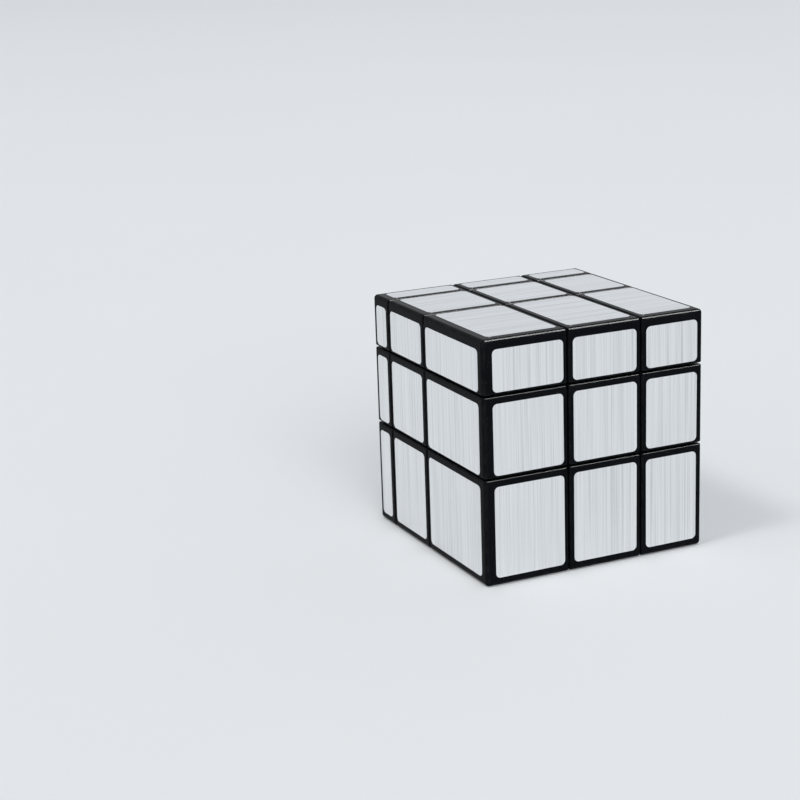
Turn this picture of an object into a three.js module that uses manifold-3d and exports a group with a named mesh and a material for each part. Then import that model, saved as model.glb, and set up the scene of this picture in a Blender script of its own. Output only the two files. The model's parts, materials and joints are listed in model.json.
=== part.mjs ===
// A 3 x 3 x 3 mirror block puzzle: every layer has its own thickness, and every face is one colour.
// The six centres turn on the arms of a core. The edges hook under the centres, and the corners
// hook under the edges, so each of the six outer layers turns about its own axis.
// Millimetres, +Z up. The face with the deepest layer behind it looks along -Y.

import * as THREE from 'three';
import { RoundedBoxGeometry } from 'three/addons/geometries/RoundedBoxGeometry.js';
import { mergeVertices } from 'three/addons/utils/BufferGeometryUtils.js';
import loadManifold from 'manifold-3d';

// ---- Driving dimensions -------------------------------------------------------------------

const middleLayer = 19;
const outerLayer = { right: 16.6, left: 21.4, back: 8.7, front: 29.3, up: 12.9, down: 25.1 };
const cut = middleLayer / 2;
const clearance = 0.2;
const contactGap = 0.3;

// The mechanism is the same in every slot. A turning layer holds all that is above its cut plane,
// and the feet between the inner step and the cut plane that are inside the step radius.
const innerStep = 6;
const stepRadius = 15.2;
const footFloor = innerStep + clearance;
const footRadius = stepRadius - clearance;
const capFloor = stepRadius + clearance;

const wall = 1.5;
const edgeChamfer = 0.8;
const plugSize = 4;

const armRadius = 3;
const armLength = 7.5;
const hubSize = 9;
const screwHoleRadius = 1.4;
const screwHoleDepth = 5.2;

const stemRadius = 5.6;
const stemFloor = armLength + contactGap;
const stemFloorThickness = 1.3;
const springWellRadius = 3.6;
const flangeHalfWidth = 7.6;
const flangeThickness = 1.2;

const springRadius = 2.4;
const springWireRadius = 0.35;
const springTurns = 3.5;
const springBottom = stemFloor + stemFloorThickness + contactGap;
const springTop = 13.6;

const washerRadius = 3.2;
const washerThickness = 0.5;
const washerBottom = springTop + contactGap;

const screwRadius = 1.1;
const screwTip = 3.2;
const screwHeadRadius = 3.1;
const screwHeadHeight = 1.5;
const screwHeadBottom = washerBottom + washerThickness + contactGap;
const driveSlotWidth = 0.7;
const driveSlotLength = 3.6;
const driveSlotDepth = 0.9;

const roundSides = 20;
const limitSides = 40;
const shankSides = 12;
const springSides = 6;
const springStepsPerTurn = 8;
const oversize = 60;

// ---- Slots: the six faces, and the edges and corners named after the faces they touch --------

const outward = {
  right: new THREE.Vector3(1, 0, 0),
  left: new THREE.Vector3(-1, 0, 0),
  back: new THREE.Vector3(0, 1, 0),
  front: new THREE.Vector3(0, -1, 0),
  up: new THREE.Vector3(0, 0, 1),
  down: new THREE.Vector3(0, 0, -1),
};
const faces = Object.keys(outward);
const ring = ['front', 'right', 'back', 'left'];
const nextInRing = (face) => ring[(ring.indexOf(face) + 1) % ring.length];

const edgeSlots = [
  ...ring.map((face) => ['up', face]),
  ...ring.map((face) => [face, nextInRing(face)]),
  ...ring.map((face) => ['down', face]),
];
const cornerSlots = ['up', 'down'].flatMap((end) => ring.map((face) => [end, face, nextInRing(face)]));

const reach = (face) => cut + outerLayer[face];

// ---- Materials ----------------------------------------------------------------------------

const blackPlastic = new THREE.MeshStandardMaterial({ color: 0x0b0c0e, roughness: 0.22, metalness: 0 });
const innerPlastic = new THREE.MeshStandardMaterial({ color: 0x15171a, roughness: 0.45, metalness: 0 });
const steel = new THREE.MeshStandardMaterial({ color: 0xb9bcc0, roughness: 0.3, metalness: 1 });

// ---- Solids -------------------------------------------------------------------------------

const wasm = await loadManifold();
wasm.setup();

function solidOf(geometry) {
  const bare = geometry.clone();
  bare.deleteAttribute('normal');
  bare.deleteAttribute('uv');
  const merged = mergeVertices(bare);
  const vertProperties = Float32Array.from(merged.attributes.position.array);
  const triVerts = Uint32Array.from(merged.index.array);
  return new wasm.Manifold(new wasm.Mesh({ numProp: 3, vertProperties, triVerts }));
}

function geometryOf(solid) {
  const mesh = solid.getMesh();
  const geometry = new THREE.BufferGeometry();
  geometry.setAttribute('position', new THREE.BufferAttribute(mesh.vertProperties, 3));
  geometry.setIndex(new THREE.BufferAttribute(mesh.triVerts, 1));
  geometry.computeVertexNormals();
  return geometry;
}

function placedBox(geometry, low, high) {
  geometry.translate((low[0] + high[0]) / 2, (low[1] + high[1]) / 2, (low[2] + high[2]) / 2);
  return solidOf(geometry);
}

function box(low, high) {
  return placedBox(new THREE.BoxGeometry(high[0] - low[0], high[1] - low[1], high[2] - low[2]), low, high);
}

// A box whose twelve edges are broken by a chamfer, as each moulded block's are.
function block(low, high) {
  const size = high.map((value, axis) => value - low[axis]);
  return placedBox(new RoundedBoxGeometry(...size, 1, edgeChamfer), low, high);
}

function cylinder(radius, bottom, top, sides) {
  const geometry = new THREE.CylinderGeometry(radius, radius, top - bottom, sides);
  geometry.rotateX(Math.PI / 2);
  geometry.translate(0, 0, (bottom + top) / 2);
  return solidOf(geometry);
}

// A long cylinder about one axis through the core's centre. Its flats lie inside the radius,
// so a foot trimmed by it stays inside the true circle.
function limitCylinder(axis) {
  const geometry = new THREE.CylinderGeometry(footRadius, footRadius, oversize, limitSides);
  if (axis === 'x') geometry.rotateZ(Math.PI / 2);
  if (axis === 'z') geometry.rotateX(Math.PI / 2);
  return solidOf(geometry);
}

// ---- Core, screws, springs and washers ------------------------------------------------------

function makeCore() {
  const half = hubSize / 2;
  let solid = block([-half, -half, -half], [half, half, half]);
  const turns = [[Math.PI / 2, 0], [0, Math.PI / 2], [0, 0]];
  for (const [aboutX, aboutY] of turns) {
    const arm = new THREE.CylinderGeometry(armRadius, armRadius, 2 * armLength, roundSides);
    arm.rotateX(Math.PI / 2);
    arm.rotateX(aboutX);
    arm.rotateY(aboutY);
    solid = solid.add(solidOf(arm));
  }
  for (const face of faces) {
    const hole = new THREE.CylinderGeometry(screwHoleRadius, screwHoleRadius, 2 * screwHoleDepth, shankSides);
    hole.rotateX(Math.PI / 2);
    hole.translate(0, 0, armLength);
    hole.applyQuaternion(turnTo(face));
    solid = solid.subtract(solidOf(hole));
  }
  return geometryOf(solid);
}

function makeScrew() {
  const headTop = screwHeadBottom + screwHeadHeight;
  const profile = [
    new THREE.Vector2(0, screwTip),
    new THREE.Vector2(screwRadius * 0.5, screwTip),
    new THREE.Vector2(screwRadius, screwTip + screwRadius),
    new THREE.Vector2(screwRadius, screwHeadBottom),
    new THREE.Vector2(screwHeadRadius, screwHeadBottom),
    new THREE.Vector2(screwHeadRadius, headTop - screwHeadHeight / 3),
    new THREE.Vector2(screwHeadRadius * 0.8, headTop),
    new THREE.Vector2(0, headTop),
  ];
  const turned = new THREE.LatheGeometry(profile, shankSides);
  turned.rotateX(Math.PI / 2);
  const halfLength = driveSlotLength / 2;
  const halfWidth = driveSlotWidth / 2;
  const slotBottom = headTop - driveSlotDepth;
  const slotTop = headTop + driveSlotDepth;
  const slotAlongX = box([-halfLength, -halfWidth, slotBottom], [halfLength, halfWidth, slotTop]);
  const slotAlongY = box([-halfWidth, -halfLength, slotBottom], [halfWidth, halfLength, slotTop]);
  return geometryOf(solidOf(turned).subtract(slotAlongX.add(slotAlongY)));
}

class Helix extends THREE.Curve {
  getPoint(t, target = new THREE.Vector3()) {
    const angle = t * springTurns * 2 * Math.PI;
    const low = springBottom + springWireRadius;
    const rise = springTop - springBottom - 2 * springWireRadius;
    return target.set(springRadius * Math.cos(angle), springRadius * Math.sin(angle), low + t * rise);
  }
}

function makeSpring() {
  const section = new THREE.Shape();
  for (let side = 0; side < springSides; side += 1) {
    const angle = (side / springSides) * 2 * Math.PI;
    const x = springWireRadius * Math.cos(angle);
    const y = springWireRadius * Math.sin(angle);
    if (side === 0) section.moveTo(x, y);
    else section.lineTo(x, y);
  }
  const steps = springTurns * springStepsPerTurn;
  return geometryOf(solidOf(new THREE.ExtrudeGeometry(section, { steps, extrudePath: new Helix() })));
}

function makeWasher() {
  const disc = cylinder(washerRadius, washerBottom, washerBottom + washerThickness, roundSides);
  const hole = cylinder(screwHoleRadius, washerBottom - 1, washerBottom + washerThickness + 1, roundSides);
  return geometryOf(disc.subtract(hole));
}

// ---- Centres: a body that turns on the arm, and a cap as deep as the layer ---------------------

function makeCentreBody() {
  const flangeTop = capFloor + flangeThickness;
  const stem = cylinder(stemRadius, stemFloor, flangeTop, roundSides);
  const flange = box(
    [-flangeHalfWidth, -flangeHalfWidth, capFloor],
    [flangeHalfWidth, flangeHalfWidth, flangeTop],
  );
  const well = cylinder(springWellRadius, stemFloor + stemFloorThickness, flangeTop + 1, roundSides);
  const hole = cylinder(screwHoleRadius, stemFloor - 1, flangeTop, roundSides);
  return geometryOf(stem.add(flange).subtract(well).subtract(hole));
}

function makeCentreCap(face) {
  const half = cut - clearance;
  const inside = flangeHalfWidth + contactGap;
  const roof = Math.min(wall, reach(face) - capFloor - flangeThickness - contactGap);
  const cup = block([-half, -half, capFloor], [half, half, reach(face)]);
  const pocket = box([-inside, -inside, capFloor - 1], [inside, inside, reach(face) - roof]);
  return geometryOf(cup.subtract(pocket));
}

// ---- Edges: a hollow block with a foot under the two centres beside it --------------------------
// The slot's own axes: x and z point out of the two faces, and y runs along the edge.

function makeEdge(faceX, faceZ) {
  const low = cut + clearance;
  const half = cut - clearance;
  const outer = block([low, -half, low], [reach(faceX), half, reach(faceZ)]);

  // The inner corner is cut off along the circle that the neighbouring corners' feet sweep.
  const relief = new THREE.BoxGeometry(oversize, oversize, oversize);
  relief.translate(0, 0, capFloor - oversize / 2);
  relief.rotateY(Math.PI / 4);
  const hollow = box(
    [low + wall, wall - half, low + wall],
    [reach(faceX) - wall, half - wall, reach(faceZ) - wall],
  );
  const hollowRelief = new THREE.BoxGeometry(oversize, oversize, oversize);
  hollowRelief.translate(0, 0, capFloor + wall - oversize / 2);
  hollowRelief.rotateY(Math.PI / 4);
  const shell = outer.subtract(solidOf(relief)).subtract(hollow.subtract(solidOf(hollowRelief)));

  const footHalf = innerStep - clearance;
  const footBlock = box([footFloor, -footHalf, footFloor], [footRadius, footHalf, footRadius]);
  const foot = footBlock.intersect(limitCylinder('x')).intersect(limitCylinder('z'));

  // A slot through the foot opens the hollow block, as the moulding core leaves it.
  const slotHalf = footHalf / 2;
  const slot = box([footFloor - 1, -slotHalf, footFloor - 1], [footRadius, slotHalf, footRadius]);
  return geometryOf(shell.add(foot).subtract(slot));
}

// ---- Corners: a hollow shell, and a foot whose plug closes the shell's inner corner --------------
// The slot's own axes x, y and z point out of the three faces.

function makeCornerShell(corner) {
  const low = cut + clearance;
  const reaches = corner.map(reach);
  const outer = block([low, low, low], reaches);
  const hollow = box([low + wall, low + wall, low + wall], reaches.map((value) => value - wall));
  const notchTop = low + plugSize + contactGap;
  const notch = box([low - 1, low - 1, low - 1], [notchTop, notchTop, notchTop]);
  return geometryOf(outer.subtract(hollow).subtract(notch));
}

function makeCornerFoot() {
  const low = cut + clearance;
  const plug = box([low, low, low], [low + plugSize, low + plugSize, low + plugSize]);
  const footBlock = box([footFloor, footFloor, footFloor], [footRadius, footRadius, footRadius]);
  const foot = ['x', 'y', 'z'].reduce((solid, axis) => solid.intersect(limitCylinder(axis)), footBlock);
  return geometryOf(plug.add(foot));
}

// ---- Placement ------------------------------------------------------------------------------

function turnTo(face) {
  const side = Math.abs(outward[face].z) > 0 ? outward.right : outward.up;
  const z = outward[face];
  return turnOf(side, new THREE.Vector3().crossVectors(z, side), z);
}

function turnOf(x, y, z) {
  return new THREE.Quaternion().setFromRotationMatrix(new THREE.Matrix4().makeBasis(x, y, z));
}

function turnToEdge([faceX, faceZ]) {
  const x = outward[faceX];
  const z = outward[faceZ];
  return turnOf(x, new THREE.Vector3().crossVectors(z, x), z);
}

// A corner's faces in the order that makes its axes right-handed.
function rightHanded([first, second, third]) {
  const normal = new THREE.Vector3().crossVectors(outward[first], outward[second]);
  return normal.dot(outward[third]) > 0 ? [first, second, third] : [second, first, third];
}

const puzzle = new THREE.Group();
puzzle.position.set(
  (reach('left') - reach('right')) / 2,
  (reach('front') - reach('back')) / 2,
  reach('down'),
);

function place(name, geometry, material, turn = new THREE.Quaternion()) {
  const mesh = new THREE.Mesh(geometry, material);
  mesh.name = name;
  mesh.quaternion.copy(turn);
  puzzle.add(mesh);
}

place('core', makeCore(), innerPlastic);

const screw = makeScrew();
const spring = makeSpring();
const washer = makeWasher();
const centreBody = makeCentreBody();
for (const face of faces) {
  const turn = turnTo(face);
  place(`screw_${face}`, screw, steel, turn);
  place(`spring_${face}`, spring, steel, turn);
  place(`washer_${face}`, washer, steel, turn);
  place(`centre_body_${face}`, centreBody, innerPlastic, turn);
  place(`centre_cap_${face}`, makeCentreCap(face), blackPlastic, turn);
}

for (const slot of edgeSlots) {
  place(`edge_${slot.join('_')}`, makeEdge(...slot), blackPlastic, turnToEdge(slot));
}

const cornerFoot = makeCornerFoot();
for (const slot of cornerSlots) {
  const ordered = rightHanded(slot);
  const turn = turnOf(...ordered.map((face) => outward[face]));
  place(`corner_shell_${slot.join('_')}`, makeCornerShell(ordered), blackPlastic, turn);
  place(`corner_foot_${slot.join('_')}`, cornerFoot, innerPlastic, turn);
}

export default puzzle;
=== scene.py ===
import json
import math
import random

import bmesh
import bpy
from mathutils import Matrix, Vector


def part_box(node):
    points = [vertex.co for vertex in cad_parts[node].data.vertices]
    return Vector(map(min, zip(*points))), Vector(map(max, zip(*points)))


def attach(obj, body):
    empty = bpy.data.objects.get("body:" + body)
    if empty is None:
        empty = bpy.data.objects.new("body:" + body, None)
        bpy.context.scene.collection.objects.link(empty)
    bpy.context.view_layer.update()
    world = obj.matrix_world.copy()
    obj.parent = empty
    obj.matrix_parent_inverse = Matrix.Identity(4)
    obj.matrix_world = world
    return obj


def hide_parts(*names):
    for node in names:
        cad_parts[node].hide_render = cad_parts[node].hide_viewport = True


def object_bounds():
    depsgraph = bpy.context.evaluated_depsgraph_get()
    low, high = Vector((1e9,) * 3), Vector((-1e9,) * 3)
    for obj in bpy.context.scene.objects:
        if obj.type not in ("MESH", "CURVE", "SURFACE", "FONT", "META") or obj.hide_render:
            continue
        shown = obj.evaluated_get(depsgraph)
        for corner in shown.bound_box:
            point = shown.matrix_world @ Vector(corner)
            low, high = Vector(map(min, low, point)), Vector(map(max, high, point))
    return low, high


# A 3 x 3 x 3 mirror block puzzle: silver brushed film on black blocks, with a depth of its own
# for each outer layer. Shapes are built in millimetres about the core's centre, in each slot's
# own axes, and are then turned and scaled into the row frame.

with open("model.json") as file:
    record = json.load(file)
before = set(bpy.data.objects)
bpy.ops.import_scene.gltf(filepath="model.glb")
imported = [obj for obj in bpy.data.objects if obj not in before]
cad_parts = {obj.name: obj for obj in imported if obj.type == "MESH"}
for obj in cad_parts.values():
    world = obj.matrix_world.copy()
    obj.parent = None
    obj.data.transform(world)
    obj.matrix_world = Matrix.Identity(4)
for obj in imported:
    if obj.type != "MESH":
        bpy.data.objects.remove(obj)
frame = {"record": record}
cad_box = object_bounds()
rng = random.Random(27)

MM = 0.001
FACES = {
    "right": Vector((1, 0, 0)),
    "left": Vector((-1, 0, 0)),
    "back": Vector((0, 1, 0)),
    "front": Vector((0, -1, 0)),
    "up": Vector((0, 0, 1)),
    "down": Vector((0, 0, -1)),
}
RING = ("front", "right", "back", "left")
NEXT = {face: RING[(place + 1) % 4] for place, face in enumerate(RING)}
EDGES = (
    [("up", face) for face in RING]
    + [(face, NEXT[face]) for face in RING]
    + [("down", face) for face in RING]
)
CORNERS = [(end, face, NEXT[face]) for end in ("up", "down") for face in RING]
BODY_OF = {
    node: body
    for body, nodes in frame["record"]["behaviour"]["bodies"].items()
    for node in nodes
}

# ---- Sizes, in millimetres -------------------------------------------------------------------

# Measured on the CAD solids that the fine pieces stand for.
core_low, core_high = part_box("core")
CORE_AT = (core_low + core_high) / 2


def span(node, face):
    """How far from the core's centre a node starts and ends, along a face's outward axis."""
    ends = [(corner - CORE_AT).dot(FACES[face]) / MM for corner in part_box(node)]
    return min(ends), max(ends)


REACH = {face: span("centre_cap_" + face, face)[1] for face in FACES}
HALF = span("centre_cap_up", "right")[1]
START = span("corner_shell_up_front_right", "up")[0]
CAP_FLOOR = span("centre_cap_up", "up")[0]
FOOT_FLOOR = span("corner_foot_up_front_right", "up")[0]
ARM_END = span("core", "up")[1]
FLANGE_HALF = span("centre_body_up", "right")[1]
STEM_FLOOR, FLANGE_TOP = span("centre_body_up", "up")
SPRING_FLOOR, SPRING_TOP = span("spring_up", "up")
SPRING_OUTSIDE = span("spring_up", "right")[1]
WASHER_FLOOR, WASHER_TOP = span("washer_up", "up")
WASHER_RADIUS = span("washer_up", "right")[1]
SCREW_TIP, SCREW_TOP = span("screw_up", "up")
SCREW_HEAD_RADIUS = span("screw_up", "right")[1]

# Roundings.
FILLET = 0.9
CUT_FILLET = 0.45
FILLET_STEPS = 5
SMALL_FILLET = 0.4
SMALL_FILLET_STEPS = 3
HOLLOW_FILLET = 0.5
PLUG_FILLET = 0.3
PLUG_FILLET_STEPS = 2
SHARP_ANGLE = math.radians(28)
SAME_PLACE = 0.001
SMOOTH_SIDES = 96

# Moulded blocks and their feet.
WALL = 1.5
PLUG = 4
GAP = 0.3
RUNNING_GAP = 0.4
FOOT_RADIUS = CAP_FLOOR - RUNNING_GAP
FOOT_HALF = FOOT_FLOOR - RUNNING_GAP
SCREW_HOLE_RADIUS = 1.4
OVERSHOOT = 1
CUTTER_SIZE = 60

# Film: its thickness, its corners, its margins to a block's edges, and its placing errors.
FILM = 0.12
FILM_CORNER = 1.1
FILM_CORNER_STEPS = 8
CUT_MARGIN = 1.07
FILM_DROP = 0.5
OUTER_MARGIN = {"right": 1.75, "left": 2.45, "back": 2, "front": 2.2, "up": 2.4, "down": 2}
FILM_SHIFT = 0.06
FILM_TWIST = math.radians(0.2)

# ---- Meshes ----------------------------------------------------------------------------------


def mesh_of(bm):
    bmesh.ops.recalc_face_normals(bm, faces=bm.faces)
    mesh = bpy.data.meshes.new("shape")
    bm.to_mesh(mesh)
    bm.free()
    return mesh


def corner_box(low, high):
    """A box's bare mesh, before its edges are rounded."""
    bm = bmesh.new()
    bmesh.ops.create_cube(bm, size=1)
    low, high = Vector(low), Vector(high)
    for vertex in bm.verts:
        share = vertex.co + Vector((0.5, 0.5, 0.5))
        vertex.co = low + Vector([a * b for a, b in zip(share, high - low)])
    return bm


def block(low, high, radius=0, steps=SMALL_FILLET_STEPS):
    """A box with rounded edges and corners, or with sharp ones when radius is 0."""
    bm = corner_box(low, high)
    if radius:
        bmesh.ops.bevel(
            bm, geom=bm.edges[:], offset=radius, segments=steps, profile=0.5, affect="EDGES"
        )
    return mesh_of(bm)


def evaluated(thing, *others):
    """The mesh that an object's modifiers make. The object and its helpers are used up."""
    depsgraph = bpy.context.evaluated_depsgraph_get()
    made = bpy.data.meshes.new_from_object(thing.evaluated_get(depsgraph))
    for used in (thing, *others):
        mesh = used.data
        bpy.data.objects.remove(used)
        bpy.data.meshes.remove(mesh)
    return made


def loose_object(name, data):
    """A new object in the scene, at its origin."""
    thing = bpy.data.objects.new(name, data)
    bpy.context.scene.collection.objects.link(thing)
    return thing


def outer_block(low, high, outer_axes):
    """A block whose edges between two outer faces are rounder than those beside a cut plane.
    The outer faces are those on the high side of the outer axes."""
    bm = corner_box(low, high)
    weights = bm.edges.layers.float.new("bevel_weight_edge")
    for edge in bm.edges:
        middle = sum((vertex.co for vertex in edge.verts), Vector()) / 2
        sides = [axis for axis in outer_axes if abs(middle[axis] - high[axis]) < SAME_PLACE]
        edge[weights] = 1 if len(sides) == 2 else CUT_FILLET / FILLET
    rounded = loose_object("rounded", mesh_of(bm))
    bevel = rounded.modifiers.new("round", "BEVEL")
    bevel.limit_method = "WEIGHT"
    bevel.width = FILLET
    bevel.segments = FILLET_STEPS
    return evaluated(rounded)


def ring_of(bm, radius, height):
    """New vertices, evenly spaced on a level circle about z."""
    angles = [2 * math.pi * side / SMOOTH_SIDES for side in range(SMOOTH_SIDES)]
    return [bm.verts.new((radius * math.cos(a), radius * math.sin(a), height)) for a in angles]


def turned(profile):
    """A closed solid turned about z, from (radius, height) points that go up its outside.
    Points at radius 0 become single vertices; a profile clear of the axis closes on itself."""
    bm = bmesh.new()
    rings = []
    for radius, height in profile:
        if radius == 0:
            rings.append([bm.verts.new((0, 0, height))])
        else:
            rings.append(ring_of(bm, radius, height))
    pairs = list(zip(rings, rings[1:]))
    if profile[0][0] and profile[-1][0]:
        pairs.append((rings[-1], rings[0]))
    for lower, upper in pairs:
        for side in range(SMOOTH_SIDES):
            after = (side + 1) % SMOOTH_SIDES
            corners = [lower[side % len(lower)], lower[after % len(lower)]]
            corners += [upper[after % len(upper)], upper[side % len(upper)]]
            bm.faces.new(list(dict.fromkeys(corners)))
    return mesh_of(bm)


def cylinder(radius, bottom, top):
    return turned([(0, bottom), (radius, bottom), (radius, top), (0, top)])


def moved(mesh, matrix):
    """A copy of the mesh, moved by the matrix."""
    copy = mesh.copy()
    copy.transform(matrix.to_4x4())
    return copy


def combined(first, second, operation):
    """Two closed meshes made one, by DIFFERENCE, UNION or INTERSECT. Both are used up."""
    target, tool = loose_object("target", first), loose_object("tool", second)
    modifier = target.modifiers.new("cut", "BOOLEAN")
    modifier.solver = "EXACT"
    modifier.operation = operation
    modifier.object = tool
    return evaluated(target, tool)


def cut(mesh, *tools):
    for tool in tools:
        mesh = combined(mesh, tool, "DIFFERENCE")
    return mesh


def joined(mesh, *others):
    for other in others:
        mesh = combined(mesh, other, "UNION")
    return mesh


def common(mesh, *others):
    for other in others:
        mesh = combined(mesh, other, "INTERSECT")
    return mesh


def mark_wear(mesh, low, high):
    """Marks the vertices on a block's rounded edges, which handling wears first."""
    wear = mesh.attributes.new("edge_wear", "FLOAT", "POINT")
    for vertex, value in zip(mesh.vertices, wear.data):
        depths = [min(at - bottom, top - at) for at, bottom, top in zip(vertex.co, low, high)]
        near = [depth for depth in depths if SAME_PLACE < depth < FILLET]
        value.value = float(len(near) >= 2 and min(depths) > SAME_PLACE)
    return mesh


# ---- Slots' axes -----------------------------------------------------------------------------


def turn_of(x, y, z):
    """The turn from a slot's own axes to the row frame's."""
    return Matrix((x, y, z)).transposed()


def turn_to(face):
    """For a centre and what is under it: z points out of its face."""
    z = FACES[face]
    side = FACES["right"] if z.z else FACES["up"]
    return turn_of(side, z.cross(side), z)


def turn_to_edge(face_x, face_z):
    """For an edge: x and z point out of its two faces."""
    x, z = FACES[face_x], FACES[face_z]
    return turn_of(x, z.cross(x), z)


def right_handed(first, second, third):
    """A corner's faces in the order that makes its axes right-handed."""
    if FACES[first].cross(FACES[second]).dot(FACES[third]) > 0:
        return first, second, third
    return second, first, third


def add_piece(name, mesh, turn, body, material, slot):
    """Puts a mesh from a slot's own axes into the row frame, riding on its body."""
    mesh.name = name
    mesh.transform(Matrix.Translation(CORE_AT) @ (turn.to_4x4() @ Matrix.Scale(MM, 4)))
    mesh.shade_smooth()
    mesh.set_sharp_from_angle(angle=SHARP_ANGLE)
    mesh.materials.clear()
    mesh.materials.append(material)
    piece = loose_object(name, mesh)
    shading = piece.modifiers.new("shading", "WEIGHTED_NORMAL")
    shading.keep_sharp = True
    if slot == "black_plastic":
        GLOSSY_PIECES.objects.link(piece)
    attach(piece, body)
    return piece


def stand_for(node, mesh, turn, material, slot):
    """A finely made piece that is shown in place of a CAD node."""
    piece = add_piece(node + "_fine", mesh, turn, BODY_OF[node], material, slot)
    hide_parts(node)
    return piece


# ---- Materials -------------------------------------------------------------------------------


def new_material(name):
    material = bpy.data.materials.new(name)
    material.use_nodes = True
    return material, material.node_tree, material.node_tree.nodes["Principled BSDF"]


def add(tree, kind, links=None, values=None, **settings):
    """A shader node with its settings, its sockets' values and the outputs linked into it."""
    node = tree.nodes.new("ShaderNode" + kind)
    for key, value in settings.items():
        setattr(node, key, value)
    for socket, value in (values or {}).items():
        node.inputs[socket].default_value = value
    for socket, source in (links or {}).items():
        tree.links.new(source, node.inputs[socket])
    return node


def noise(tree, coordinates, scale, detail=2.0):
    """Noise whose scale along each axis is given per metre."""
    stretched = add(tree, "Mapping", {"Vector": coordinates}, {"Scale": scale})
    texture = add(
        tree,
        "TexNoise",
        {"Vector": stretched.outputs[0]},
        {"Scale": 1.0, "Detail": detail, "Roughness": 0.55},
    )
    return texture.outputs[0]


def spread(tree, source, from_low, from_high, to_low, to_high):
    """A value moved from one range to another, and clamped there."""
    ranged = add(
        tree,
        "MapRange",
        {"Value": source},
        {"From Min": from_low, "From Max": from_high, "To Min": to_low, "To Max": to_high},
    )
    return ranged.outputs[0]


def maths(tree, operation, first, second):
    """A Math node on two outputs, or on an output and a number."""
    node = add(tree, "Math", {0: first}, operation=operation)
    if isinstance(second, (int, float)):
        node.inputs[1].default_value = second
    else:
        tree.links.new(second, node.inputs[1])
    return node.outputs[0]


def blend_colours(tree, share, first, second):
    """Goes from the first colour to the second as share goes from 0 to 1."""
    node = add(tree, "Mix", {"Factor": share}, data_type="RGBA")
    for socket, colour in ((6, first), (7, second)):
        if isinstance(colour, tuple):
            node.inputs[socket].default_value = (*colour, 1)
        else:
            tree.links.new(colour, node.inputs[socket])
    return node.outputs[2]


def make_brushed_film():
    """Silver film with hairlines along the v axis of the brush map."""
    material, tree, shader = new_material("brushed_silver_film")
    uv = add(tree, "UVMap", uv_map="brush").outputs[0]
    broad = noise(tree, uv, (300, 12, 1))
    lines = noise(tree, uv, (1500, 10, 1), 3)
    hairs = noise(tree, uv, (5200, 20, 1), 3)
    tone = maths(tree, "MULTIPLY", lines, 0.32)
    tone = maths(tree, "ADD", tone, maths(tree, "MULTIPLY", hairs, 0.58))
    tone = maths(tree, "ADD", tone, maths(tree, "MULTIPLY", broad, 0.1))
    share = spread(tree, tone, 0.33, 0.53, 0, 1)
    colour = blend_colours(tree, share, (0.58, 0.605, 0.63), (0.872, 0.884, 0.89))
    tree.links.new(colour, shader.inputs["Base Color"])
    tree.links.new(spread(tree, tone, 0.3, 0.7, 0.25, 0.13), shader.inputs["Roughness"])
    bump = add(tree, "Bump", {"Height": tone}, {"Strength": 0.5, "Distance": 0.000004})
    tree.links.new(bump.outputs[0], shader.inputs["Normal"])
    tangent = add(tree, "Tangent", direction_type="UV_MAP", uv_map="brush")
    tree.links.new(tangent.outputs[0], shader.inputs["Tangent"])
    shader.inputs["Metallic"].default_value = 1
    shader.inputs["Anisotropic"].default_value = 0.6
    return material


def make_plastic(name, dark, light, gloss, level, wear):
    """Moulded black plastic: flow marks between the dark and the light colour, a fine orange peel,
    wiping marks, dust, and edges worn paler where a piece is marked for it. The roughness starts at
    gloss, and level is the strength of its highlights."""
    material, tree, shader = new_material(name)
    at = add(tree, "TexCoord").outputs["Object"]
    flow = noise(tree, at, (90, 90, 90), 3)
    peel = noise(tree, at, (1400, 1400, 1400), 2)
    wiping = noise(tree, at, (260, 1900, 700), 2)
    worn = add(tree, "Attribute", attribute_name="edge_wear").outputs["Fac"]
    patches = spread(tree, noise(tree, at, (420, 420, 420), 4), 0.42, 0.68, 0, 1)
    worn = maths(tree, "MULTIPLY", maths(tree, "POWER", worn, 2), patches)
    dust = spread(tree, noise(tree, at, (5200, 5200, 5200), 1), 0.775, 0.80, 0, 1)
    colour = blend_colours(tree, spread(tree, flow, 0.3, 0.7, 0, 1), dark, light)
    colour = blend_colours(tree, maths(tree, "MULTIPLY", worn, wear), colour, (0.09, 0.092, 0.095))
    colour = blend_colours(tree, maths(tree, "MULTIPLY", dust, 0.5), colour, (0.32, 0.32, 0.31))
    tree.links.new(colour, shader.inputs["Base Color"])
    rough = spread(tree, wiping, 0.3, 0.7, gloss, gloss + 0.1)
    rough = maths(tree, "ADD", rough, maths(tree, "MULTIPLY", worn, 0.15))
    rough = maths(tree, "ADD", rough, maths(tree, "MULTIPLY", dust, 0.3))
    tree.links.new(rough, shader.inputs["Roughness"])
    bump = add(tree, "Bump", {"Height": peel}, {"Strength": 0.2, "Distance": 0.000006})
    tree.links.new(bump.outputs[0], shader.inputs["Normal"])
    shader.inputs["Specular IOR Level"].default_value = level
    return material


def make_steel():
    """Zinc-plated steel: a soft grain, and slightly yellow patches in the plating."""
    material, tree, shader = new_material("plated_steel")
    at = add(tree, "TexCoord").outputs["Object"]
    grain = noise(tree, at, (9000, 9000, 9000), 2)
    plating = noise(tree, at, (600, 600, 600), 3)
    colour = blend_colours(
        tree, spread(tree, plating, 0.35, 0.65, 0, 1), (0.60, 0.61, 0.63), (0.72, 0.71, 0.67)
    )
    tree.links.new(colour, shader.inputs["Base Color"])
    tree.links.new(spread(tree, grain, 0.3, 0.7, 0.24, 0.42), shader.inputs["Roughness"])
    bump = add(tree, "Bump", {"Height": grain}, {"Strength": 0.3, "Distance": 0.000004})
    tree.links.new(bump.outputs[0], shader.inputs["Normal"])
    shader.inputs["Metallic"].default_value = 1
    return material


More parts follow.
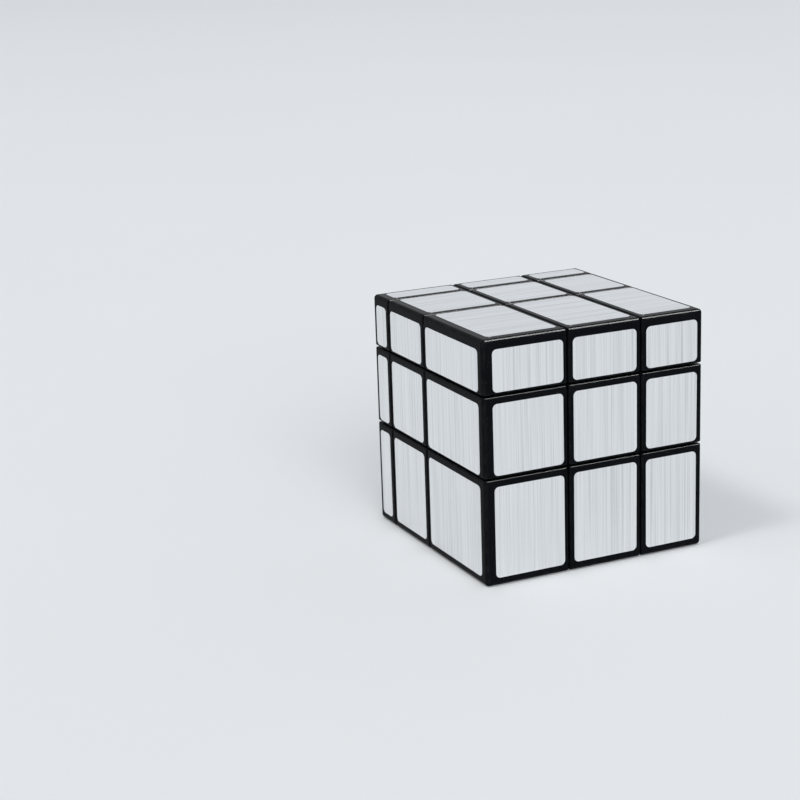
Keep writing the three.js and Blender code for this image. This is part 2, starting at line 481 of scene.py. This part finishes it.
GLOSSY_PIECES = bpy.data.collections.new("glossy_pieces")
FILM_LOOK = make_brushed_film()
BLACK_LOOK = make_plastic(
    "gloss_black_plastic", (0.0028, 0.0034, 0.0044), (0.0042, 0.0049, 0.006), 0.06, 0.02, 0.06
)
INNER_LOOK = make_plastic(
    "matte_inner_plastic", (0.004, 0.0044, 0.0052), (0.007, 0.0076, 0.0086), 0.36, 0.25, 0
)
STEEL_LOOK = make_steel()

# ---- Mechanism -------------------------------------------------------------------------------


def make_core():
    """The spider: a rounded hub with six drilled arms."""
    hub_half, hub_fillet, arm_radius, lip, past = 4.5, 0.8, 3, 0.35, 0.01
    hole_bottom, hole_cone = ARM_END - 5.2, 0.8
    core = block([-hub_half] * 3, [hub_half] * 3, hub_fillet, FILLET_STEPS)
    arm = [(0, -ARM_END), (arm_radius - lip, -ARM_END), (arm_radius, lip - ARM_END)]
    arm += [(radius, -height) for radius, height in reversed(arm)]
    for face in ("up", "front", "right"):
        core = joined(core, moved(turned(arm), turn_to(face)))
    hole = turned([
        (0, hole_bottom),
        (SCREW_HOLE_RADIUS, hole_bottom + hole_cone),
        (SCREW_HOLE_RADIUS, ARM_END - lip),
        (SCREW_HOLE_RADIUS + lip, ARM_END + past),
        (0, ARM_END + past),
    ])
    for face in FACES:
        core = cut(core, moved(hole, turn_to(face)))
    return core


def make_screw():
    """A pan-headed screw with a cross recess. The thread is drawn as rings."""
    thread_radius, thread_root, pitch = 1.1, 0.88, 0.5
    tip_radius, tip_length, point_length, thread_start = 0.35, 0.1, 0.9, 1
    neck_radius, head_height, lip = 1, 1.5, 0.12
    crown_steps, crown_turn, flat_share = 8, math.radians(80), 0.55
    slot_width, slot_length, slot_depth, slot_fillet = 0.7, 3.6, 0.9, 0.15
    head_floor = SCREW_TOP - head_height
    profile = [
        (0, SCREW_TIP),
        (tip_radius, SCREW_TIP + tip_length),
        (thread_root, SCREW_TIP + point_length),
    ]
    height = SCREW_TIP + thread_start
    while height < ARM_END - pitch:
        profile += [
            (thread_root, height),
            (thread_radius, height + pitch * 0.45),
            (thread_radius, height + pitch * 0.6),
        ]
        height += pitch
    profile += [
        (neck_radius, height),
        (neck_radius, head_floor),
        (SCREW_HEAD_RADIUS - lip, head_floor),
    ]
    for step in range(crown_steps + 1):
        angle = crown_turn * step / crown_steps
        bulge = SCREW_HEAD_RADIUS * (flat_share + (1 - flat_share) * math.cos(angle))
        profile.append((bulge, head_floor + lip + (head_height - lip) * math.sin(angle)))
    profile.append((0, SCREW_TOP))
    screw = turned(profile)
    low = (-slot_length / 2, -slot_width / 2, SCREW_TOP - slot_depth)
    high = (slot_length / 2, slot_width / 2, SCREW_TOP + slot_depth)
    for turn in (Matrix.Identity(3), Matrix.Rotation(math.pi / 2, 3, "Z")):
        screw = cut(screw, moved(block(low, high, slot_fillet), turn))
    return screw


def make_spring():
    """A coil spring with closed ends, swept as one round wire."""
    wire, turns, steps, sides, closed = 0.35, 3.5, 48, 14, 0.4
    coil_radius = SPRING_OUTSIDE - wire
    low, high = SPRING_FLOOR + wire, SPRING_TOP - wire
    open_turns = turns - 2 * closed
    bm = bmesh.new()
    rings = []
    count = int(turns * steps)
    for step in range(count + 1):
        turn = turns * step / count
        share = min(max((turn - closed) / open_turns, 0), 1)
        height = low + (high - low) * share * share * (3 - 2 * share)
        angle = 2 * math.pi * turn
        out = Vector((math.cos(angle), math.sin(angle), 0))
        centre = out * coil_radius + Vector((0, 0, height))
        ring = []
        for side in range(sides):
            around = 2 * math.pi * side / sides
            offset = out * math.cos(around) + Vector((0, 0, math.sin(around)))
            ring.append(bm.verts.new(centre + wire * offset))
        rings.append(ring)
    for first, second in zip(rings, rings[1:]):
        for side in range(sides):
            after = (side + 1) % sides
            bm.faces.new((first[side], first[after], second[after], second[side]))
    bm.faces.new(rings[0])
    bm.faces.new(rings[-1])
    return mesh_of(bm)


def make_washer():
    """A flat ring with broken edges."""
    lip = 0.08
    return turned([
        (SCREW_HOLE_RADIUS + lip, WASHER_FLOOR),
        (WASHER_RADIUS - lip, WASHER_FLOOR),
        (WASHER_RADIUS, WASHER_FLOOR + lip),
        (WASHER_RADIUS, WASHER_TOP - lip),
        (WASHER_RADIUS - lip, WASHER_TOP),
        (SCREW_HOLE_RADIUS + lip, WASHER_TOP),
        (SCREW_HOLE_RADIUS, WASHER_TOP - lip),
        (SCREW_HOLE_RADIUS, WASHER_FLOOR + lip),
    ])


def make_centre_body():
    """The turning body of a centre: a bored stem with a square flange that the cap sits on."""
    stem_radius, lip, well_radius, floor, flange_fillet = 5.6, 0.4, 3.6, 1.3, 0.35
    stem = turned([
        (0, STEM_FLOOR),
        (stem_radius - lip, STEM_FLOOR),
        (stem_radius, STEM_FLOOR + lip),
        (stem_radius, FLANGE_TOP),
        (0, FLANGE_TOP),
    ])
    flange_low = (-FLANGE_HALF, -FLANGE_HALF, CAP_FLOOR)
    flange = block(flange_low, (FLANGE_HALF, FLANGE_HALF, FLANGE_TOP), flange_fillet)
    well = cylinder(well_radius, STEM_FLOOR + floor, FLANGE_TOP + OVERSHOOT)
    hole = cylinder(SCREW_HOLE_RADIUS, STEM_FLOOR - OVERSHOOT, FLANGE_TOP)
    return cut(joined(stem, flange), well, hole)


def limit_cylinder(axis):
    """The inside of the circle that the feet sweep about one axis."""
    face = {"x": "right", "y": "back", "z": "up"}[axis]
    return moved(cylinder(FOOT_RADIUS, -CUTTER_SIZE / 2, CUTTER_SIZE / 2), turn_to(face))


# ---- Blocks ----------------------------------------------------------------------------------


def make_cap(face):
    """A centre's cap: a deep cup that closes down over the flange."""
    low, high = (-HALF, -HALF, CAP_FLOOR), (HALF, HALF, REACH[face] - FILM)
    inside = FLANGE_HALF + GAP
    roof = min(WALL, REACH[face] - FLANGE_TOP - GAP)
    pocket_low = (-inside, -inside, CAP_FLOOR - 2 * OVERSHOOT)
    pocket = block(pocket_low, (inside, inside, REACH[face] - roof), HOLLOW_FILLET)
    return mark_wear(cut(outer_block(low, high, (2,)), pocket), low, high)


def inside_of(low, high):
    """The hollow that leaves a block's walls standing."""
    return block([at + WALL for at in low], [at - WALL for at in high], HOLLOW_FILLET)


def below_slant(depth):
    """Everything on the core's side of a plane that slants from face to face of an edge."""
    below = block([-CUTTER_SIZE] * 3, [CUTTER_SIZE, CUTTER_SIZE, depth])
    return moved(below, Matrix.Rotation(math.pi / 4, 4, "Y"))


def make_edge(face_x, face_z):
    """An edge: a hollow block whose inner corner is cut off, with a slotted foot."""
    low = (START, -HALF, START)
    high = (REACH[face_x] - FILM, HALF, REACH[face_z] - FILM)
    hollow = cut(inside_of(low, high), below_slant(CAP_FLOOR + WALL))
    shell = cut(outer_block(low, high, (0, 2)), below_slant(CAP_FLOOR), hollow)
    foot_low = (FOOT_FLOOR, -FOOT_HALF, FOOT_FLOOR)
    foot = block(foot_low, (FOOT_RADIUS, FOOT_HALF, FOOT_RADIUS), SMALL_FILLET)
    foot = common(foot, limit_cylinder("x"), limit_cylinder("z"))
    slot_half, slot_floor = FOOT_HALF / 2, FOOT_FLOOR - 2 * OVERSHOOT
    slot_low = (slot_floor, -slot_half, slot_floor)
    slot = block(slot_low, (FOOT_RADIUS, slot_half, FOOT_RADIUS), SMALL_FILLET)
    return mark_wear(cut(joined(shell, foot), slot), low, high)


def make_corner(corner):
    """A corner's hollow shell, notched at its inner corner for the foot's plug."""
    low, high = [START] * 3, [REACH[face] - FILM for face in corner]
    notch_low, notch_high = START - 2 * OVERSHOOT, START + PLUG + GAP
    notch = block([notch_low] * 3, [notch_high] * 3, PLUG_FILLET, PLUG_FILLET_STEPS)
    shell = cut(outer_block(low, high, (0, 1, 2)), inside_of(low, high), notch)
    return mark_wear(shell, low, high)


def make_corner_foot():
    """The foot that hooks under three edges, with the plug that closes the shell's notch."""
    foot = block([FOOT_FLOOR] * 3, [FOOT_RADIUS] * 3, SMALL_FILLET)
    foot = common(foot, limit_cylinder("x"), limit_cylinder("y"), limit_cylinder("z"))
    plug = block([START] * 3, [START + PLUG] * 3, PLUG_FILLET, PLUG_FILLET_STEPS)
    return joined(foot, plug)


# ---- Stickers --------------------------------------------------------------------------------


def side_of(faces, axis_face):
    """Where a block lies along an axis: its lowest and highest distance from the core's centre,
    and the film's margin at each end. The films sit a little low between the seams."""
    opposite = {"right": "left", "back": "front", "up": "down"}[axis_face]
    drop = FILM_DROP if axis_face == "up" else 0
    if axis_face in faces:
        return START, REACH[axis_face], CUT_MARGIN - drop, OUTER_MARGIN[axis_face]
    if opposite in faces:
        return -REACH[opposite], -START, OUTER_MARGIN[opposite], CUT_MARGIN + drop
    return -HALF, HALF, CUT_MARGIN - drop, CUT_MARGIN + drop


def make_film(width, length):
    """A thin die-cut film with rounded corners, about its middle, with z outwards."""
    bm = bmesh.new()
    brush = bm.loops.layers.uv.new("brush")
    rings = []
    half_x, half_y = width / 2 - FILM_CORNER, length / 2 - FILM_CORNER
    for height in (0, FILM):
        ring = []
        for corner, (x_side, y_side) in enumerate(((1, 1), (-1, 1), (-1, -1), (1, -1))):
            middle = Vector((x_side * half_x, y_side * half_y, height))
            for step in range(FILM_CORNER_STEPS + 1):
                angle = math.pi / 2 * (corner + step / FILM_CORNER_STEPS)
                out = Vector((math.cos(angle), math.sin(angle), 0))
                ring.append(bm.verts.new(middle + FILM_CORNER * out))
        rings.append(ring)
    lower, upper = rings
    count = len(lower)
    for place in range(count):
        after = (place + 1) % count
        bm.faces.new((lower[place], lower[after], upper[after], upper[place]))
    bm.faces.new(list(reversed(lower)))
    bm.faces.new(upper)
    start = Vector((rng.uniform(0, 4), rng.uniform(0, 4)))
    for face in bm.faces:
        for loop in face.loops:
            loop[brush].uv = start + loop.vert.co.xy * MM
    return mesh_of(bm)


def add_stickers(faces, body):
    """The film on each outer face of a block. Its hairlines run up the sides and along x on top."""
    for face in faces:
        out = FACES[face]
        along = FACES["right"] if out.z else FACES["up"]
        across = along.cross(out)
        centre, size = Vector(), Vector()
        for place, axis_face in enumerate(("right", "back", "up")):
            if out[place]:
                continue
            low, high, low_margin, high_margin = side_of(faces, axis_face)
            centre[place] = (low + low_margin + high - high_margin) / 2
            size[place] = high - high_margin - low - low_margin
        width = abs(size.dot(across))
        length = abs(size.dot(along))
        film = make_film(width, length)
        shift = Vector((rng.uniform(-1, 1), rng.uniform(-1, 1), 0)) * FILM_SHIFT
        twist = Matrix.Rotation(rng.uniform(-1, 1) * FILM_TWIST, 4, "Z")
        centre += out * (REACH[face] - FILM)
        film.transform(Matrix.Translation(shift) @ twist)
        film.transform(Matrix.Translation(centre) @ turn_of(across, along, out).to_4x4())
        name = "_".join(["sticker", face, "of", *faces])
        add_piece(name, film, Matrix.Identity(3), body, FILM_LOOK, "sticker")


# ---- The puzzle ------------------------------------------------------------------------------

stand_for("core", make_core(), Matrix.Identity(3), INNER_LOOK, "inner_plastic")

screw, spring, washer, centre_body = make_screw(), make_spring(), make_washer(), make_centre_body()
for face in FACES:
    turn = turn_to(face)
    stand_for("screw_" + face, screw.copy(), turn, STEEL_LOOK, "steel")
    stand_for("spring_" + face, spring.copy(), turn, STEEL_LOOK, "steel")
    stand_for("washer_" + face, washer.copy(), turn, STEEL_LOOK, "steel")
    stand_for("centre_body_" + face, centre_body.copy(), turn, INNER_LOOK, "inner_plastic")
    stand_for("centre_cap_" + face, make_cap(face), turn, BLACK_LOOK, "black_plastic")
    add_stickers([face], BODY_OF["centre_cap_" + face])

for faces in EDGES:
    node = "edge_" + "_".join(faces)
    stand_for(node, make_edge(*faces), turn_to_edge(*faces), BLACK_LOOK, "black_plastic")
    add_stickers(faces, BODY_OF[node])

corner_foot = make_corner_foot()
for faces in CORNERS:
    slot_name = "_".join(faces)
    ordered = right_handed(*faces)
    turn = turn_of(*[FACES[face] for face in ordered])
    shell = "corner_shell_" + slot_name
    stand_for(shell, make_corner(ordered), turn, BLACK_LOOK, "black_plastic")
    stand_for("corner_foot_" + slot_name, corner_foot.copy(), turn, INNER_LOOK, "inner_plastic")
    add_stickers(faces, BODY_OF[shell])

# ---- Camera ----------------------------------------------------------------------------------

# The camera's place is given in millimetres from the box's centre, along the camera's own axes.
AZIMUTH, ELEVATION, ROLL = math.radians(-24.63), math.radians(15.44), math.radians(-1.985)
CAMERA_RIGHT, CAMERA_UP, CAMERA_BACK = -32.138, 4.14, 447.9
SENSOR, LENS = 36, 84.46
NEAREST, FARTHEST = 0.01, 20

cad_low, cad_high = cad_box
towards = Vector((
    math.sin(AZIMUTH) * math.cos(ELEVATION),
    -math.cos(AZIMUTH) * math.cos(ELEVATION),
    math.sin(ELEVATION),
))
level = Vector((0, 0, 1)).cross(towards).normalized()
upright = towards.cross(level)
tilted_right = math.cos(ROLL) * level + math.sin(ROLL) * upright
tilted_up = towards.cross(tilted_right)

camera = loose_object("camera", bpy.data.cameras.new("camera"))
bpy.context.scene.camera = camera
camera.data.sensor_width, camera.data.lens = SENSOR, LENS
camera.data.clip_start, camera.data.clip_end = NEAREST, FARTHEST
offset = CAMERA_RIGHT * tilted_right + CAMERA_UP * tilted_up + CAMERA_BACK * towards
place = (cad_low + cad_high) / 2 + offset * MM
camera.matrix_world = Matrix.Translation(place) @ turn_of(tilted_right, tilted_up, towards).to_4x4()

# ---- Studio ----------------------------------------------------------------------------------

# The stage's own sizes are in metres.
FLOOR_RADIUS, COVE_RADIUS, COVE_TURN, COVE_STEPS = 3.5, 1.5, math.radians(50), 16


def make_cove():
    """A pale floor that curves up all round, with painted shade that darkens its colour farther
    from the puzzle.
    """
    bm = bmesh.new()
    centre = bm.verts.new((0, 0, 0))
    rings = []
    for step in range(COVE_STEPS + 1):
        angle = COVE_TURN * step / COVE_STEPS
        across = FLOOR_RADIUS + COVE_RADIUS * math.sin(angle)
        rings.append(ring_of(bm, across, COVE_RADIUS * (1 - math.cos(angle))))
    for side in range(SMOOTH_SIDES):
        after = (side + 1) % SMOOTH_SIDES
        bm.faces.new((centre, rings[0][side], rings[0][after]))
        for lower, upper in zip(rings, rings[1:]):
            bm.faces.new((lower[side], lower[after], upper[after], upper[side]))
    mesh = mesh_of(bm)
    mesh.shade_smooth()
    cove = loose_object("cove", mesh)
    material, tree, shader = new_material("pale_sweep")
    at = add(tree, "TexCoord").outputs["Object"]
    tone = spread(tree, noise(tree, at, (3, 3, 3), 3), 0.3, 0.7, 0, 1)
    near = blend_colours(tree, tone, (0.795, 0.81, 0.82), (0.81, 0.825, 0.835))
    # Painted shade: the floor's colour grows darker with distance from the puzzle, standing in for
    # the light's falloff over the far floor and cove.
    distance = add(tree, "VectorMath", {0: at}, operation="LENGTH").outputs["Value"]
    painted_shade_share = spread(tree, distance, 0.15, 2.5, 0, 1)
    colour = blend_colours(tree, painted_shade_share, near, (0.69, 0.705, 0.722))
    tree.links.new(colour, shader.inputs["Base Color"])
    shader.inputs["Roughness"].default_value = 0.9
    shader.inputs["Specular IOR Level"].default_value = 0.1
    mesh.materials.append(material)


def aimed(name, kind, towards_lamp, colour):
    """A lamp that shines at the puzzle from a direction."""
    lamp = loose_object(name, bpy.data.lights.new(name, kind))
    lamp.data.color = colour
    lamp.location = CORE_AT + Vector(towards_lamp)
    lamp.rotation_mode = "QUATERNION"
    lamp.rotation_quaternion = Vector(towards_lamp).to_track_quat("Z", "Y")
    return lamp


def add_far_light(name, towards_lamp, strength, width, colour):
    """A soft light so far off that the whole floor gets the same of it."""
    lamp = aimed(name, "SUN", towards_lamp, colour)
    lamp.data.energy = strength
    lamp.data.angle = width


def add_gloss_strip(name, towards_lamp, size, power):
    """A softbox that only draws highlights on the black plastic."""
    lamp = aimed(name, "AREA", towards_lamp, (1, 1, 1))
    lamp.data.shape = "RECTANGLE"
    lamp.data.size, lamp.data.size_y = size
    lamp.data.energy = power
    lamp.visible_diffuse = False
    lamp.light_linking.receiver_collection = GLOSSY_PIECES


def light_world():
    """An even studio, a little brighter around the horizon than overhead."""
    world = bpy.data.worlds.new("studio")
    bpy.context.scene.world = world
    world.use_nodes = True
    tree = world.node_tree
    at = add(tree, "TexCoord").outputs["Generated"]
    height = add(tree, "SeparateXYZ", {"Vector": at}).outputs["Z"]
    overhead = spread(tree, height, 0.3, 1, 0, 1)
    colour = blend_colours(tree, overhead, (0.745, 0.77, 0.8), (0.42, 0.435, 0.455))
    tree.links.new(colour, tree.nodes["Background"].inputs["Color"])


make_cove()
light_world()
add_far_light("key", (-0.5, -0.05, 0.87), 0.62, 0.22, (1, 0.99, 0.975))
add_far_light("front", (-0.2, -0.85, 0.45), 1.45, 0.7, (1, 1, 1))
add_gloss_strip("top_strip", (0.4, -0.27, 0.88), (0.4, 0.6), 130)
bpy.context.scene.view_settings.view_transform = "Standard"
